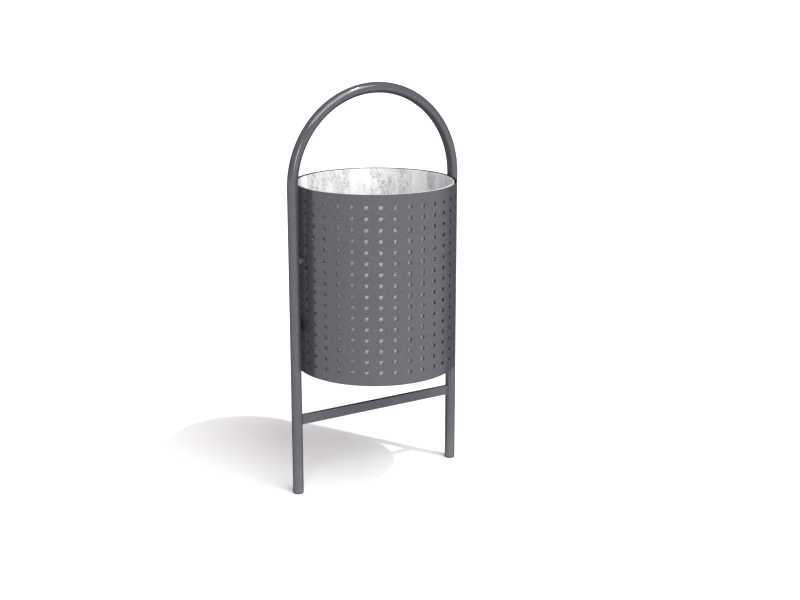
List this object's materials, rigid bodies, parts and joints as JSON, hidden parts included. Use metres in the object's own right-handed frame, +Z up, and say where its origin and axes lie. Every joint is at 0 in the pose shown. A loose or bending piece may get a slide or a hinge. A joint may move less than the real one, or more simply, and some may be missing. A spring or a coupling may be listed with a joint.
{
  "type": "litter bin",
  "caption": "Perforated steel litter bin that tips between the legs of a bent-tube hoop, with a galvanised liner, rear lock and drop handles.",
  "frame": {"origin": "on the ground, midway between the two legs", "axes": "+Z up; X runs from leg to leg, the lock is beside the +X leg; the bin tips forward towards -Y"},
  "size_m": [0.487, 0.407, 1.0235],
  "materials": {
    "painted_steel": "fine-textured grey powder coat",
    "galvanised_sheet": "bright galvanised sheet with a faint spangle",
    "plated_steel": "zinc plated",
    "black_plastic": "moulded black plastic",
    "grey_plastic": "moulded grey plastic",
    "rubber": "black rubber"
  },
  "bodies": {
    "frame": {"hoop_frame": "painted_steel", "cross_bar": "painted_steel", "foot_plug_left": "black_plastic", "foot_plug_right": "black_plastic", "pivot_bush_left": "grey_plastic", "pivot_bush_right": "grey_plastic"},
    "bin": {"perforated_shell": "painted_steel", "floor_plate": "painted_steel", "pivot_pin_left": "painted_steel", "pivot_pin_right": "painted_steel", "pivot_plate_left": "painted_steel", "pivot_plate_right": "painted_steel", "stop_lug_left": "painted_steel", "stop_lug_right": "painted_steel", "stop_buffer_left": "rubber", "stop_buffer_right": "rubber", "lock_bracket": "painted_steel"},
    "lock": {"lock_spindle": "plated_steel", "lock_cam": "plated_steel", "lock_screw": "plated_steel"},
    "liner": {"liner_wall": "galvanised_sheet", "liner_base": "galvanised_sheet", "handle_strap_front": "galvanised_sheet", "handle_strap_back": "galvanised_sheet", "strap_rivet_front_upper": "plated_steel", "strap_rivet_front_lower": "plated_steel", "strap_rivet_back_upper": "plated_steel", "strap_rivet_back_lower": "plated_steel"},
    "front_handle": {"liner_handle_front": "plated_steel"},
    "back_handle": {"liner_handle_back": "plated_steel"}
  },
  "joints": [
    {"name": "bin_tilt", "type": "hinge", "parent": "frame", "child": "bin", "pos_m": [0, 0, 0.6], "axis": [1, 0, 0], "range_deg": [0, 110]},
    {"name": "lock_turn", "type": "hinge", "parent": "bin", "child": "lock", "pos_m": [0.2095, 0.0196, 0.6945], "axis": [0, -1, 0], "range_deg": [0, 90]},
    {"name": "liner_lift", "type": "slide", "parent": "bin", "child": "liner", "axis": [0, 0, 1], "range_m": [0, 0.07]},
    {"name": "front_handle_swing", "type": "hinge", "parent": "liner", "child": "front_handle", "pos_m": [0, -0.18526, 0.69], "axis": [1, 0, 0], "range_deg": [0, 165]},
    {"name": "back_handle_swing", "type": "hinge", "parent": "liner", "child": "back_handle", "pos_m": [0, 0.18526, 0.69], "axis": [-1, 0, 0], "range_deg": [0, 165]}
  ]
}
